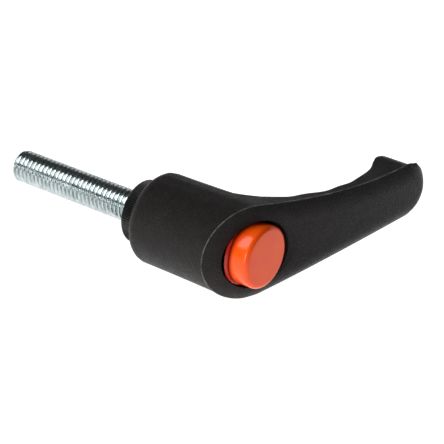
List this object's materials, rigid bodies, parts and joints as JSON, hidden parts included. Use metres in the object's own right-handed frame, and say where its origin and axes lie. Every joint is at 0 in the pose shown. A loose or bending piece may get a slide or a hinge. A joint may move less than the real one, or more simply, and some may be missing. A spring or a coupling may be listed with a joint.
{
  "type": "adjustable clamping lever",
  "caption": "Indexable clamping lever with a threaded stud: lift the arm against its spring, turn it to a new tooth and let it drop back.",
  "frame": {"origin": "centre of the insert's seat face, on the stud's axis", "axes": "+Y along the stud, from the seat towards its tip; +X out along the arm; +Z across the arm, upwards as the lever lies on its side"},
  "size_m": [0.0653, 0.0843, 0.0236],
  "materials": {
    "zinc_plated_steel": "bright zinc plated, rolled thread",
    "blackened_steel": "black oxide, fine axial teeth",
    "screw_steel": "zinc plated",
    "spring_steel": "drawn spring wire",
    "orange_acetal": "smooth, moderately glossy moulding",
    "black_nylon": "fine matt texture on glass-fibre reinforced nylon"
  },
  "bodies": {
    "clamping_element": {"threaded_stud": "zinc_plated_steel", "serrated_insert": "blackened_steel", "retaining_screw": "screw_steel", "push_button": "orange_acetal"},
    "spring": {"return_spring": "spring_steel"},
    "lever": {"lever_body": "black_nylon"}
  },
  "joints": [
    {"name": "release_lift", "type": "slide", "parent": "clamping_element", "child": "spring", "axis": [0, -1, 0], "range_m": [0, 0.004], "stiffness_N_per_m": 2500, "springref_m": -0.004, "deforming": ["return_spring"]},
    {"name": "lever_turn", "type": "hinge", "parent": "spring", "child": "lever", "pos_m": [0, 0, 0], "axis": [0, -1, 0], "continuous": true}
  ]
}
